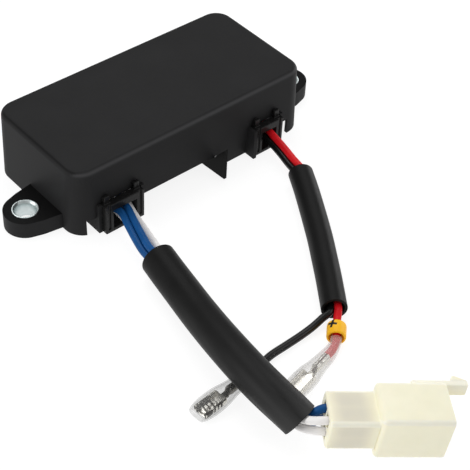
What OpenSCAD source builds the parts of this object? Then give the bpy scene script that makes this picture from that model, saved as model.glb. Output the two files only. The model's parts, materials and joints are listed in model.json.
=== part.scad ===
// Automatic voltage regulator for a small generator: a potted plastic case with two mounting ears,
// a four-wire harness with a plug, and a pair of brush leads with sleeved terminals.
// Millimetres, +Z up. The origin is midway between the two mounting holes, on the mounting plane.

/* [Case] */
// Length of the case's top
case_l = 90; // [86:1:110]
// Width of the case's top
case_w = 42.8; // [40:0.2:54]
// Height of the case over the mounting plane
case_h = 23.6; // [22:0.2:32]
// Radius of the upright corners at the top
corner_r = 6; // [4:0.5:9]
// Radius of the rounded edge round the top
rim_r = 1.8; // [0.6:0.2:3]
// Slope of the outer walls, in degrees
draft = 1.5; // [0.5:0.25:3]
// Thickness of the walls, at the top
wall_t = 2; // [1.4:0.2:3]
// Thickness of the top
roof_t = 2.2; // [1.4:0.2:3]
// Height of the long walls' lower edges over the mounting plane
edge_z = 5.6; // [4:0.2:6]
// Length of the corner legs at the left end, along the long walls
leg_left = 3.8; // [3:0.2:6]
// Length of the corner legs at the right end, along the long walls
leg_right = 7.1; // [4:0.2:8]

/* [Mounting ears] */
// Distance of each mounting hole from its end of the case's top
hole_out = 8; // [7:0.5:20]
// How far the case's middle lies behind the mounting holes
case_back = 5.6; // [0:0.2:9]
// Thickness of the ears
ear_h = 5.6; // [4:0.2:8]
// Radius of the ears' round ends
ear_r = 6.8; // [6:0.2:9]
// Width of the ears where they meet the end walls
ear_root = 18.6; // [16:0.2:24]
// Outer diameter of the metal bushes
bush_d = 8.3; // [7.6:0.1:10]
// Bore of the metal bushes, for an M6 screw
bush_bore = 6.2; // [5.2:0.1:6.8]
// How far the bushes stand over the ears
bush_proud = 0.2; // [0:0.1:0.6]
// Gap between a bush and its ear
bush_fit = 0.02; // [0.01:0.01:0.05]

/* [Cable exits] */
// Distance of the harness exit to the left of the case's middle
exit_left = 30; // [26:0.2:32]
// Distance of the brush lead exit to the right of the case's middle
exit_right = 28; // [26:0.2:30]
// Width of the harness exit's cable insert
insert_left_w = 14.4; // [13:0.2:14.8]
// Width of the brush lead exit's cable insert
insert_right_w = 11.6; // [11:0.2:14]
// Height of the cable inserts
insert_h = 10.6; // [10.2:0.2:13]
// Thickness of the cable inserts
insert_t = 2.7; // [2:0.1:4]
// Width of each post of a cable insert
post_w = 2.9; // [2.2:0.1:3]
// Height of the opening's sill
opening_low = 1.2; // [0.8:0.1:1.6]
// Height of the opening's lintel
opening_high = 8; // [7.9:0.1:9]
// Length of the foot that reaches through the wall under the leads
foot_l = 4.4; // [3:0.2:6]
// Width of the groove down each post of an insert
groove_w = 0.8; // [0.4:0.1:1.2]
// Depth of the groove down each post of an insert
groove_t = 0.5; // [0.2:0.1:1]
// Height of the catches on top of an insert
catch_h = 2.6; // [1.6:0.2:4]
// Thickness of the rails beside an insert
rail_t = 1.2; // [0.8:0.1:2]
// How far the low rails stand out of the front wall
rail_low = 1; // [0.6:0.1:2.4]
// How far the tall rail stands out of the front wall
rail_tall = 3.4; // [2:0.1:5]
// Gap between the inserts and the case
insert_fit = 0.05; // [0.02:0.01:0.15]

/* [Fin and skirt] */
// Distance of the fin to the right of the case's middle
fin_x = 6.5; // [2:0.5:9]
// Thickness of the fin
fin_t = 1; // [0.8:0.1:2.4]
// How far the fin stands out of the front wall
fin_out = 5.8; // [2:0.2:8]
// Height of the fin's tip
fin_tip = 12.6; // [6:0.2:14]
// How far the fin's lower edge rises towards its tip
fin_rise = 0.8; // [0:0.1:2]
// Distance of the skirt's free end to the right of the case's middle
skirt_x = 12.2; // [11:0.2:16]
// How far the skirt's face lies behind the front wall's
skirt_step = 0.5; // [0:0.1:1]
// How far the rails and the fin run back under the case
rib_back = 6; // [4:0.5:9]

/* [Resin and circuit board] */
// Height of the resin's underside over the mounting plane
resin_z = 6.2; // [6:0.1:7]
// Gap between the resin and what it holds
resin_fit = 0.05; // [0.02:0.01:0.1]
// Gap between the circuit board's ends and the end walls
board_gap = 3; // [2.5:0.5:5]
// Width of the circuit board
board_w = 31; // [30:0.5:34]
// Thickness of the circuit board
board_t = 1.6; // [1:0.2:2]
// Height of the resin under the circuit board
board_cover = 1.2; // [0.8:0.1:1.6]

/* [Parts on the circuit board] */
// Length of the heat sink plate
sink_l = 32; // [24:1:34]
// Gap between the heat sink plate and the roof
sink_gap = 1.4; // [1:0.2:4.4]
// Thickness of the heat sink plate
sink_t = 1.5; // [1:0.1:2]
// Width of the power transistor
power_w = 10; // [9:0.2:11]
// Height of the power transistor
power_h = 10; // [8:0.2:11]
// Thickness of the power transistor
power_t = 4.5; // [4:0.1:5]
// Diameter of the filter capacitor
filter_d = 10; // [8:0.5:11]
// Gap between the filter capacitor and the roof
filter_gap = 0.9; // [0.4:0.1:3.4]
// Length of the film capacitor
film_l = 13; // [10:0.5:15]
// Thickness of the film capacitor
film_t = 5.5; // [4:0.5:7]
// Height of the film capacitor
film_h = 9.5; // [7:0.5:11]
// Length of the power resistor
ceramic_l = 22; // [18:0.5:24]
// Width and height of the power resistor
ceramic_d = 6.4; // [5:0.2:7]
// Diameter of the rectifier diodes
diode_d = 5; // [4:0.2:5.6]
// Length of the rectifier diodes
diode_l = 8.5; // [7:0.5:10]
// Diameter of the varistor's disc
varistor_d = 9; // [7:0.5:10]
// Thickness of the varistor's disc
varistor_t = 4; // [3:0.2:5]
// Diameter of the control transistor
control_d = 4.8; // [4:0.2:5.4]
// Height of the control transistor
control_h = 5.2; // [4:0.2:6]
// Diameter of the small resistors
resistor_d = 2.4; // [2:0.1:2.8]
// Length of the small resistors
resistor_l = 6.3; // [5:0.1:6.8]

/* [Leads and sleeves] */
// Outer diameter of the leads
lead_d = 2.3; // [1.8:0.05:2.3]
// Outer diameter of the harness sleeve
harness_sleeve_d = 10.6; // [9.8:0.1:10.8]
// Wall of the harness sleeve
harness_sleeve_t = 0.9; // [0.6:0.05:1.1]
// Outer diameter of the brush lead sleeve
brush_sleeve_d = 7.8; // [7:0.1:8]
// Wall of the brush lead sleeve
brush_sleeve_t = 0.8; // [0.5:0.05:1]
// Outer diameter of the polarity marker
marker_d = 5.6; // [4.6:0.1:5.8]
// Bore of the polarity marker
marker_bore = 3.2; // [2.8:0.1:3.6]
// Length of the polarity marker
marker_l = 4.6; // [4:0.1:8]

/* [Plug] */
// Length of the plug's rear block
rear_l = 12.8; // [10:0.1:16]
// Width of the plug's rear block
rear_w = 11.6; // [10.4:0.1:12.4]
// Height of the plug's rear block
rear_h = 10.4; // [9:0.1:12]
// Length of the plug's shell
shell_l = 19; // [15:0.5:24]
// Width of the plug's shell
shell_w = 13.8; // [13:0.1:15]
// Height of the plug's shell
shell_h = 14.7; // [12.8:0.1:16]
// Wall of the plug's shell
shell_t = 1.3; // [0.9:0.1:1.5]
// Thickness of the wall between the rear block and the socket
shell_floor = 2; // [1.4:0.1:3]
// Radius of the plug's long edges
plug_edge_r = 0.9; // [0.4:0.1:1.2]
// How far the latch reaches past the shell's mouth
latch_over = 6.2; // [3:0.2:7]
// Width of the latch
latch_w = 4; // [3:0.2:5]
// Thickness of the latch
latch_t = 1.2; // [0.8:0.1:1.6]
// Length of the latch along the shell
latch_root = 9; // [6:0.5:14]
// Height of the latch's barb
barb_h = 1.6; // [0.6:0.1:2]
// Spacing of the plug's contacts across the plug
contact_pitch_w = 5.4; // [5:0.1:5.8]
// Spacing of the plug's contacts up the plug
contact_pitch_h = 4.4; // [4.2:0.1:4.8]
// Width and height of a contact's body
contact_d = 2.8; // [2.5:0.1:3]
// Length of a contact's body
contact_l = 11; // [9:0.5:12]
// Length of a contact's blade
blade_l = 8; // [5:0.5:10]
// Thickness of a contact's blade
blade_t = 0.8; // [0.5:0.1:1]
// Gap between a contact and the plug
contact_fit = 0.15; // [0.05:0.05:0.25]
// Depth of the leads' ends in the plug
lead_depth = 3; // [2:0.5:4]

/* [Brush terminals] */
// Diameter of a terminal's crimped barrel
crimp_d = 2.8; // [2.4:0.1:3]
// Length of a terminal's crimped barrel
crimp_l = 6; // [4:0.2:8]
// Length of a terminal's neck
neck_l = 2; // [1:0.2:3]
// Width of a terminal's neck
neck_w = 2.2; // [1.6:0.1:2.6]
// Length of a terminal's receptacle
receptacle_l = 8; // [6:0.2:10]
// Width of a terminal's receptacle
receptacle_w = 4.9; // [4:0.1:5]
// Height of a terminal's receptacle
receptacle_h = 2.4; // [2:0.1:2.8]
// Thickness of a terminal's metal
receptacle_t = 0.45; // [0.3:0.05:0.6]
// Width of a terminal's clear sleeve
clear_w = 6.2; // [5.8:0.1:7]
// Height of a terminal's clear sleeve
clear_h = 4; // [3.8:0.1:4.2]
// Wall of a terminal's clear sleeve
clear_t = 0.4; // [0.3:0.05:0.45]
// Length of a clear sleeve over the lead, before the terminal
clear_lead = 3; // [1:0.2:3.4]
// Length of a clear sleeve past the terminal's tip
clear_over = 1.6; // [0.4:0.2:3]

/* [Hidden] */
$fn = 64;

// A cut runs this far past the solid that it opens.
past = 1;

// Half sizes of the case's walls, and the middles of its upright corners.
function spread(z) = (case_h - z) * tan(draft);
base_x = case_l / 2 + spread(0);
base_y = case_w / 2 + spread(0);
core_x = case_l / 2 - corner_r;
core_y = case_w / 2 - corner_r;
room_x = case_l / 2 - wall_t;
room_y = case_w / 2 - wall_t;
room_r = corner_r - wall_t;
room_top = case_h - roof_t;

// Distance between the two mounting holes.
hole_span = case_l + 2 * hole_out;

// Places of the cable exits along the front wall, and the planes of the inserts.
insert_back = base_y + insert_fit;
insert_front = insert_back + insert_t;
catch_w = 2;
catch_t = 1.2;
catch_in = 1.7;
foot_fit = 0.2;
function rail_in(w) = w / 2 + insert_fit;
function rail_out(w) = rail_in(w) + rail_t;

// Heights in the potted room, and the gap that lies open behind each exit.
board_z = resin_z + board_cover;
parts_z = board_z + board_t;
lead_z = board_z + board_t / 2;
way_cover = 1;
way_lap = 0.4;
way_high = insert_h - way_lap;
exits = [[-exit_left, insert_left_w], [exit_right, insert_right_w]];
function way_w(w) = w - 2 * way_cover;

// The leads leave the circuit board's front edge at this place.
start_y = case_back - board_w / 2;

// Length of the circuit board, and the heights of what reaches up to the roof.
board_l = 2 * (room_x - board_gap);
sink_h = room_top - parts_z - sink_gap;
filter_h = room_top - parts_z - filter_gap;

// Distances of parts from the circuit board's left end.
filter_end = 9;
varistor_end = 8.5;

// Distances of parts from the circuit board's right end, and the rows of the diodes.
sink_end = 18;
power_end = 21;
diode_ends = [28, 13];
diode_rows = [-3.5, -10.5];

// Places of the parts on the circuit board, from the case's middle.
sink_x = board_l / 2 - sink_end;
sink_y = 12.5;
power_x = board_l / 2 - power_end;
filter_place = [filter_end - board_l / 2, 5];
film_place = [-14, 9];
ceramic_place = [-11, -1];
diode_places = [for (row = diode_rows, end = diode_ends) [board_l / 2 - end, row]];
varistor_place = [varistor_end - board_l / 2, -8];
control_place = [-0.5, -10];
resistor_places = [[-20.5, -10.5], [-15, -10.5], [-9.5, -10.5]];
control_flat = 1.2;
// Gap under a round part that lies on the circuit board.
lying_fit = 0.05;

// Sizes of the square parts on the circuit board, and the places that follow from them.
sink_size = [sink_l, sink_t, sink_h];
sink_place = [sink_x, sink_y + sink_t / 2];
power_size = [power_w, power_t, power_h];
power_place = [power_x, sink_y - power_t / 2];
film_size = [film_l, film_t, film_h];
ceramic_size = [ceramic_l, ceramic_d, ceramic_d];

// Places of the contacts across and up the plug, the latch's barb, and the gap in a receptacle.
contact_places = [
  for (high = [1, -1], back = [1, -1]) [back * contact_pitch_w / 2, high * contact_pitch_h / 2]
];
barb_start = latch_over / 4;
barb_peak = barb_start + barb_h / 2;
seam_w = receptacle_w / 3;

// Routes of the sleeves' middle lines, from the exits outwards.
harness_route = [
  [-34.9, -41.2, 5.4], [-36, -46.8, 5.4], [-37.5, -55, 5.4], [-39.5, -64.5, 6], [-41.7, -74, 7.5],
  [-43.8, -84, 9.2], [-44.8, -91, 9.8], [-45.2, -97, 9.8], [-45.2, -102, 9.5], [-44.9, -106.5, 8.9],
  [-44.5, -111.5, 8],
];
brush_route = [
  [24.9, -37.6, 4], [21.2, -44, 4], [17.2, -50.5, 4], [13.1, -57, 4], [8.9, -63.5, 4], [4.4, -70, 4],
  [0.2, -76, 4], [-3.8, -81.5, 4], [-7.5, -86.5, 4],
];

// Inside the harness sleeve the four leads lie round its middle line and turn as they go.
bundle_r = 1.9;
bundle_turn = 20;
function bundle(first) = [
  for (k = [0 : len(harness_route) - 2])
    harness_route[k] + bundle_r * [cos(first + bundle_turn * k), 0, sin(first + bundle_turn * k)]
];

// Inside the brush lead sleeve the two leads lie side by side.
red_side = [1.1, -0.6, 0.4];
function beside(side) = [for (k = [0 : len(brush_route) - 1]) brush_route[k] + side];

// A lead leaves the circuit board's front edge square to it.
start_l = 2;
function from_board(x) = [[x, start_y, lead_z], [x, start_y - start_l, lead_z]];

// Routes of the leads, from the circuit board to the plug or the terminal.
blue_left_route = concat(
  from_board(-33.5),
  [[-32.8, -15, 6.7], [-31.7, -19.2, 6], [-33.4, -25, 5.6], [-35.3, -31, 5.1], [-36.7, -36, 4.8]],
  bundle(200),
  [[-43.2, -110.8, 9.1], [-42.1, -113, 10.6], [-39.6, -114.4, 12.3], [-36.9, -116.3, 12.2]]
);
blue_right_route = concat(
  from_board(-28.5),
  [[-28.8, -15, 6.7], [-29.3, -19.2, 6.3], [-31, -25, 6.1], [-33.1, -31, 6.2], [-34.9, -36, 6.5]],
  bundle(110),
  [[-43.6, -110.8, 5.9], [-42.3, -112.9, 6.6], [-39.9, -114.3, 8], [-37.2, -116.1, 7.9]]
);
white_left_route = concat(
  from_board(-31),
  [[-30.8, -15, 4.4], [-30.6, -19.2, 3.2], [-31.3, -25, 2.8], [-32.4, -31, 2.7], [-33.3, -36, 3]],
  bundle(290),
  [[-45.4, -111.5, 9.6], [-44.9, -115.6, 11.2], [-42.7, -118.8, 12.5], [-40, -120.7, 12.2]]
);
white_right_route = concat(
  from_board(-25.8),
  [[-26.6, -15, 5.6], [-27.3, -19.2, 3.7], [-28.5, -25, 3.4], [-30, -31, 3.9], [-31.5, -36, 4.9]],
  bundle(20),
  [[-46, -111.5, 7.2], [-45.2, -115.4, 7.8], [-43, -118.6, 8.2], [-40.3, -120.5, 7.9]]
);
red_route = concat(
  from_board(30.2),
  [[29.6, -15, 6.7], [28.9, -19.2, 6.2], [28.1, -25.4, 5.6], [27, -31.5, 5]],
  beside(red_side),
  [[-9.5, -89.8, 3.1], [-12.3, -92.5, 2.8], [-14.6, -94.8, 2.4], [-17.4, -96.2, 2.15], [-20.2, -96.9, 2.1]]
);
black_route = concat(
  from_board(26.6),
  [[27, -15, 5.8], [27.4, -19.2, 4.2], [26.6, -25, 3.7], [25.1, -31.5, 3.3]],
  beside(-red_side),
  [[-12, -86.2, 2.6], [-15.5, -86.3, 1.7], [-20, -86.4, 1.3], [-25, -86.5, 1.3], [-31.5, -86.6, 1.3],
   [-37, -87.7, 1.6], [-40.6, -88.5, 2.1], [-43.5, -88.8, 2.1]]
);

// Places of the pieces on the leads' far ends.
plug_place = [-40.9, -116.8, 10.35];
plug_yaw = -35;
plug_pitch = 5.4;
red_terminal_place = [-20.3, -97, 2.1];
red_terminal_yaw = 192;
black_terminal_place = [-43.6, -88.8, 2.1];
black_terminal_yaw = 185;
marker_place = [-12.3, -92.5, 2.8];
marker_yaw = 224;

// Sweeping: each route point carries a ring of points, square to the route.
lead_sides = 8;
sleeve_sides = 12;
function unit(v) = v / norm(v);
function heading(route, i) = unit(route[min(i + 1, len(route) - 1)] - route[max(i - 1, 0)]);
function ring(route, i, r, sides) =
  let (t = heading(route, i), across = unit(cross(t, [0, 0, 1])), high = cross(across, t))
  [for (k = [0 : sides - 1]) route[i] + r * (cos(360 * k / sides) * across + sin(360 * k / sides) * high)];
function rings(route, r, sides) = [for (i = [0 : len(route) - 1]) each ring(route, i, r, sides)];
function quad(a, b, c, d) = [[a, b, c], [a, c, d]];
function skin(count, sides, first) = [
  for (i = [0 : count - 2], k = [0 : sides - 1])
    each quad(first + i * sides + k, first + i * sides + (k + 1) % sides,
              first + (i + 1) * sides + (k + 1) % sides, first + (i + 1) * sides + k)
];
function turned(faces) = [for (f = faces) [f[2], f[1], f[0]]];
function rim(outer, inner, sides) = [
  for (k = [0 : sides - 1])
    each quad(outer + k, outer + (k + 1) % sides, inner + (k + 1) % sides, inner + k)
];

module rod(route, d, sides) {
  count = len(route);
  first_cap = [for (k = [sides - 1 : -1 : 0]) k];
  last_cap = [for (k = [0 : sides - 1]) (count - 1) * sides + k];
  polyhedron(rings(route, d / 2, sides), concat(skin(count, sides, 0), [first_cap, last_cap]));
}

module hose(route, d, t, sides) {
  count = len(route);
  inner = count * sides;
  last = (count - 1) * sides;
  polyhedron(
    concat(rings(route, d / 2, sides), rings(route, d / 2 - t, sides)),
    concat(skin(count, sides, 0), turned(skin(count, sides, inner)),
           turned(rim(0, inner, sides)), rim(last, inner + last, sides))
  );
}

// A rectangle with round corners, about its middle.
module round_rect(w, h, r) {
  square([w - 2 * r, h], center = true);
  square([w, h - 2 * r], center = true);
  for (x = [-1, 1], y = [-1, 1]) translate([x * (w / 2 - r), y * (h / 2 - r)]) circle(r);
}

// A bar along +X with round long edges, about the X axis.
module bar(l, w, h, r) {
  rotate([90, 0, 90]) linear_extrude(l) round_rect(w, h, r);
}

// Moves a shape from the case's middle to its place behind the mounting holes.
module at_case() {
  translate([0, case_back, 0]) children();
}

// Section of the outer wall, outwards from an upright corner's middle.
module wall_section() {
  fillet_u = corner_r + rim_r * tan(draft) - rim_r / cos(draft);
  fillet_z = case_h - rim_r;
  polygon([
    [0, 0], [corner_r + spread(0), 0],
    [fillet_u + rim_r * cos(draft), fillet_z + rim_r * sin(draft)], [fillet_u, case_h], [0, case_h],
  ]);
  translate([fillet_u, fillet_z]) circle(rim_r);
}

module case_block() {
  translate([-core_x, -core_y, 0]) cube([2 * core_x, 2 * core_y, case_h]);
  for (turn = [0, 180])
    rotate(turn) translate([core_x, core_y, 0])
      rotate([90, 0, 0]) linear_extrude(2 * core_y) wall_section();
  for (turn = [90, 270])
    rotate(turn) translate([core_y, core_x, 0])
      rotate([90, 0, 0]) linear_extrude(2 * core_x) wall_section();
  for (x = [0, 1], y = [0, 1])
    mirror([x, 0, 0]) mirror([0, y, 0])
      translate([core_x, core_y, 0]) rotate_extrude(angle = 90) wall_section();
}

// An ear: a round end joined to its root on the end wall by two tangent edges.
module ear() {
  reach = hole_span / 2 - room_x;
  half = ear_root / 2;
  lean = asin(ear_r / norm([reach, half])) - atan2(half, reach);
  touch = ear_r * [sin(lean), cos(lean)];
  difference() {
    linear_extrude(ear_h) {
      circle(ear_r);
      polygon([[-reach, -half], [touch.x, -touch.y], [touch.x, touch.y], [-reach, half]]);
    }
    translate([0, 0, -past]) cylinder(d = bush_d + 2 * bush_fit, h = ear_h + 2 * past);
  }
}

// A cut through a long wall, from the mounting plane up to the wall's lower edge.
module edge_cut(from, to, side) {
  translate([from, side > 0 ? room_y - past : -base_y - past, -past])
    cube([to - from, base_y - room_y + 2 * past, edge_z + past]);
}

// An upright rib under the front wall, standing out of it.
module rib(x, t, out, h) {
  translate([x, -base_y - out, 0]) cube([t, out + rib_back, resin_z]);
  translate([x, -base_y - out, 0]) cube([t, out + (base_y - room_y) / 2, h]);
}

// The fin: a thin hook that rises from the front wall's lower edge to its tip.
module fin() {
  front = -base_y - fin_out;
  back = -base_y + rib_back;
  seat = -(base_y + room_y) / 2;
  translate([fin_x, 0, 0]) rotate([90, 0, 90]) linear_extrude(fin_t)
    polygon([
      [back, 0], [front, fin_rise], [front, fin_tip], [-base_y, edge_z], [seat, resin_z], [back, resin_z],
    ]);
}

module case() {
  color([0.09, 0.09, 0.095]) {
    for (flip = [0, 1])
      mirror([flip, 0, 0]) translate([hole_span / 2, 0, 0]) ear();
    at_case() {
      difference() {
        case_block();
        translate([0, 0, -past]) linear_extrude(room_top + past)
          round_rect(2 * room_x, 2 * room_y, room_r);
        edge_cut(-base_x + leg_left, base_x - leg_right, 1);
        edge_cut(-base_x + leg_left, -exit_left - rail_out(insert_left_w), -1);
        edge_cut(-exit_left + rail_out(insert_left_w), skirt_x, -1);
        edge_cut(exit_right + rail_out(insert_right_w), base_x - leg_right, -1);
        translate([skirt_x, -base_y - past, -past])
          cube([exit_right - skirt_x, past + skirt_step + spread(0) - spread(edge_z), edge_z + past]);
        for (exit = exits)
          translate([exit[0] - way_w(exit[1]) / 2, -base_y - past, -past])
            cube([way_w(exit[1]), base_y - room_y + 2 * past, way_high + past]);
      }
      rib(-exit_left - rail_out(insert_left_w), rail_t, rail_low, insert_h);
      rib(-exit_left + rail_in(insert_left_w), rail_t, rail_low, insert_h);
      rib(exit_right - rail_out(insert_right_w), rail_t, rail_tall, insert_h);
      rib(exit_right + rail_in(insert_right_w), rail_t, rail_low, insert_h);
      fin();
    }
  }
}

module bush(side) {
  color([0.75, 0.75, 0.73])
    translate([side * hole_span / 2, 0, 0]) difference() {
      cylinder(d = bush_d, h = ear_h + bush_proud);
      translate([0, 0, -past]) cylinder(d = bush_bore, h = ear_h + bush_proud + 2 * past);
    }
}

// A cable insert: a frame round the leads with a grooved post on each side, two catches on top, and a
// foot under the leads that reaches through the wall.
module cable_insert(x, w) {
  opening_w = w - 2 * post_w;
  foot_w = way_w(w) - 2 * foot_fit;
  color([0.07, 0.07, 0.075]) at_case() translate([x, 0, 0]) {
    difference() {
      translate([-w / 2, -insert_front, 0]) cube([w, insert_t, insert_h]);
      translate([-opening_w / 2, -insert_front - past, opening_low])
        cube([opening_w, insert_t + 2 * past, opening_high - opening_low]);
      for (side = [-1, 1])
        translate([side * (opening_w + post_w) / 2 - groove_w / 2, -insert_front - past, opening_low])
          cube([groove_w, groove_t + past, insert_h]);
    }
    for (side = [-1, 1])
      translate([side * (w / 2 - catch_in) - catch_w / 2, -insert_back - catch_t, insert_h])
        cube([catch_w, catch_t, catch_h]);
    translate([-foot_w / 2, -insert_back - insert_t / 2, 0])
      cube([foot_w, insert_t / 2 + foot_l, opening_low]);
  }
}

// Shapes of the pieces that the resin holds; grow widens a shape into its pocket, and the pocket
// then starts inside the circuit board's own pocket.
function sunk(grow) = grow > 0 ? board_t / 2 : 0;

module board_shape(grow) {
  translate([-board_l / 2 - grow, -board_w / 2 - grow, board_z - grow])
    cube([board_l + 2 * grow, board_w + 2 * grow, board_t + 2 * grow]);
}

module block_shape(place, size, grow) {
  translate([place.x - size.x / 2 - grow, place.y - size.y / 2 - grow, parts_z - sunk(grow)])
    cube([size.x + 2 * grow, size.y + 2 * grow, size.z + grow + sunk(grow)]);
}

module standing_shape(place, d, h, grow) {
  translate([place.x, place.y, parts_z - sunk(grow)])
    cylinder(d = d + 2 * grow, h = h + grow + sunk(grow));
}

// A round part lying on the circuit board, along X or Y; its pocket is as wide down to the board.
module lying_shape(place, d, l, turn, grow) {
  translate([place.x, place.y, parts_z + lying_fit + d / 2]) rotate(turn) {
    rotate([0, 90, 0]) cylinder(d = d + 2 * grow, h = l + 2 * grow, center = true);
    if (grow > 0)
      translate([-l / 2 - grow, -d / 2 - grow, -d / 2 - sunk(grow)])
        cube([l + 2 * grow, d + 2 * grow, d / 2 + sunk(grow)]);
  }
}

module control_shape(grow) {
  difference() {
    standing_shape(control_place, control_d, control_h, grow);
    translate([control_place.x - control_d, control_place.y + control_flat + grow, 0])
      cube([2 * control_d, control_d, case_h]);
  }
}

module held_shapes(grow) {
  board_shape(grow);
  block_shape(sink_place, sink_size, grow);
  block_shape(power_place, power_size, grow);
  standing_shape(filter_place, filter_d, filter_h, grow);
  block_shape(film_place, film_size, grow);
  block_shape(ceramic_place, ceramic_size, grow);
  for (place = diode_places) lying_shape(place, diode_d, diode_l, 0, grow);
  lying_shape(varistor_place, varistor_d, varistor_t, 0, grow);
  control_shape(grow);
  for (place = resistor_places) lying_shape(place, resistor_d, resistor_l, 90, grow);
}

module resin() {
  color([0.12, 0.12, 0.12]) at_case() difference() {
    translate([0, 0, resin_z]) linear_extrude(room_top - resin_fit - resin_z)
      round_rect(2 * (room_x - resin_fit), 2 * (room_y - resin_fit), room_r);
    held_shapes(resin_fit);
    for (exit = exits)
      translate([exit[0] - way_w(exit[1]) / 2, -room_y - past, resin_z - past])
        cube([way_w(exit[1]), room_y + past - board_w / 2, way_high - resin_z + past]);
  }
}

module circuit_board() { color([0.15, 0.35, 0.2]) at_case() board_shape(0); }
module heat_sink() { color([0.75, 0.76, 0.78]) at_case() block_shape(sink_place, sink_size, 0); }
module power_transistor() { color([0.1, 0.1, 0.11]) at_case() block_shape(power_place, power_size, 0); }
module filter_capacitor() {
  color([0.15, 0.18, 0.3]) at_case() standing_shape(filter_place, filter_d, filter_h, 0);
}
module film_capacitor() { color([0.55, 0.2, 0.12]) at_case() block_shape(film_place, film_size, 0); }
module power_resistor() {
  color([0.85, 0.83, 0.78]) at_case() block_shape(ceramic_place, ceramic_size, 0);
}
module rectifier_diode(k) {
  color([0.12, 0.12, 0.12]) at_case() lying_shape(diode_places[k], diode_d, diode_l, 0, 0);
}
module varistor() {
  color([0.2, 0.35, 0.6]) at_case() lying_shape(varistor_place, varistor_d, varistor_t, 0, 0);
}
module control_transistor() { color([0.1, 0.1, 0.1]) at_case() control_shape(0); }
module small_resistor(k) {
  color([0.75, 0.65, 0.5]) at_case() lying_shape(resistor_places[k], resistor_d, resistor_l, 90, 0);
}

module blue_lead(route) { color([0.13, 0.3, 0.6]) rod(route, lead_d, lead_sides); }
module white_lead(route) { color([0.9, 0.89, 0.88]) rod(route, lead_d, lead_sides); }
module red_lead() { color([0.8, 0.08, 0.1]) rod(red_route, lead_d, lead_sides); }
module black_lead() { color([0.06, 0.06, 0.06]) rod(black_route, lead_d, lead_sides); }
module harness_sleeve() {
  color([0.12, 0.12, 0.12]) hose(harness_route, harness_sleeve_d, harness_sleeve_t, sleeve_sides);
}
module brush_sleeve() {
  color([0.12, 0.12, 0.12]) hose(brush_route, brush_sleeve_d, brush_sleeve_t, sleeve_sides);
}

// Carries a shape from the plug's own frame, rear end at its origin and mouth towards +X.
module at_plug() {
  translate(plug_place) rotate([0, plug_pitch, plug_yaw]) children();
}

module plug_housing() {
  mouth = rear_l + shell_l;
  latch_from = mouth - latch_root;
  color([0.93, 0.9, 0.8]) at_plug() {
    difference() {
      union() {
        bar(rear_l + shell_floor, rear_w, rear_h, plug_edge_r);
        translate([rear_l, 0, 0]) bar(shell_l, shell_w, shell_h, plug_edge_r);
      }
      translate([rear_l + shell_floor, 0, 0])
        bar(shell_l, shell_w - 2 * shell_t, shell_h - 2 * shell_t, plug_edge_r / 2);
      for (place = contact_places)
        translate([-past, place.x - contact_d / 2 - contact_fit, place.y - contact_d / 2 - contact_fit])
          cube([mouth, contact_d + 2 * contact_fit, contact_d + 2 * contact_fit]);
    }
    translate([latch_from, shell_w / 2 - shell_t / 2, shell_h / 2 - plug_edge_r - latch_w])
      cube([latch_root + latch_over, latch_t + shell_t / 2, latch_w]);
    translate([mouth, shell_w / 2 + latch_t, shell_h / 2 - plug_edge_r - latch_w])
      linear_extrude(latch_w)
        polygon([[barb_start, 0], [latch_over, 0], [barb_peak, barb_h]]);
  }
}

// A contact: a crimped body in the rear block and a blade in the socket.
module plug_contact(k) {
  color([0.85, 0.75, 0.45]) at_plug() translate([lead_depth, contact_places[k].x, contact_places[k].y]) {
    translate([0, -contact_d / 2, -contact_d / 2]) cube([contact_l, contact_d, contact_d]);
    translate([contact_l, -contact_d / 2, -blade_t / 2]) cube([blade_l, contact_d, blade_t]);
  }
}

// Carries a shape from a terminal's own frame, lead end at its origin and tip towards +X.
module at_terminal(place, yaw) {
  translate(place) rotate(yaw) children();
}

module terminal() {
  rotate([0, 90, 0]) cylinder(d = crimp_d, h = crimp_l);
  translate([crimp_l, -neck_w / 2, -receptacle_h / 2]) cube([neck_l, neck_w, receptacle_t]);
  translate([crimp_l - neck_l, -neck_w / 2, -receptacle_h / 2]) cube([neck_l, neck_w, receptacle_h / 2]);
  translate([crimp_l + neck_l, 0, 0]) difference() {
    translate([0, -receptacle_w / 2, -receptacle_h / 2]) cube([receptacle_l, receptacle_w, receptacle_h]);
    translate([-past, receptacle_t - receptacle_w / 2, receptacle_t - receptacle_h / 2])
      cube([receptacle_l + 2 * past, receptacle_w - 2 * receptacle_t, receptacle_h - 2 * receptacle_t]);
    translate([-past, -seam_w / 2, 0]) cube([receptacle_l + 2 * past, seam_w, receptacle_h]);
  }
}

module clear_sleeve() {
  terminal_l = crimp_l + neck_l + receptacle_l;
  sleeve_l = clear_lead + terminal_l + clear_over;
  edge_r = clear_h / 2 - 2 * clear_t;
  translate([-clear_lead, 0, 0]) difference() {
    bar(sleeve_l, clear_w, clear_h, edge_r);
    translate([-past, 0, 0])
      bar(sleeve_l + 2 * past, clear_w - 2 * clear_t, clear_h - 2 * clear_t, edge_r - clear_t);
  }
}

module red_terminal() {
  color([0.8, 0.78, 0.72]) at_terminal(red_terminal_place, red_terminal_yaw) terminal();
}
module black_terminal() {
  color([0.8, 0.78, 0.72]) at_terminal(black_terminal_place, black_terminal_yaw) terminal();
}
module red_clear_sleeve() {
  color([0.85, 0.85, 0.85, 0.4]) at_terminal(red_terminal_place, red_terminal_yaw) clear_sleeve();
}
module black_clear_sleeve() {
  color([0.85, 0.85, 0.85, 0.4]) at_terminal(black_terminal_place, black_terminal_yaw) clear_sleeve();
}

module polarity_marker() {
  color([0.95, 0.7, 0.1]) translate(marker_place) rotate(marker_yaw) rotate([0, 90, 0]) difference() {
    cylinder(d = marker_d, h = marker_l, center = true);
    cylinder(d = marker_bore, h = marker_l + 2 * past, center = true);
  }
}

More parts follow.
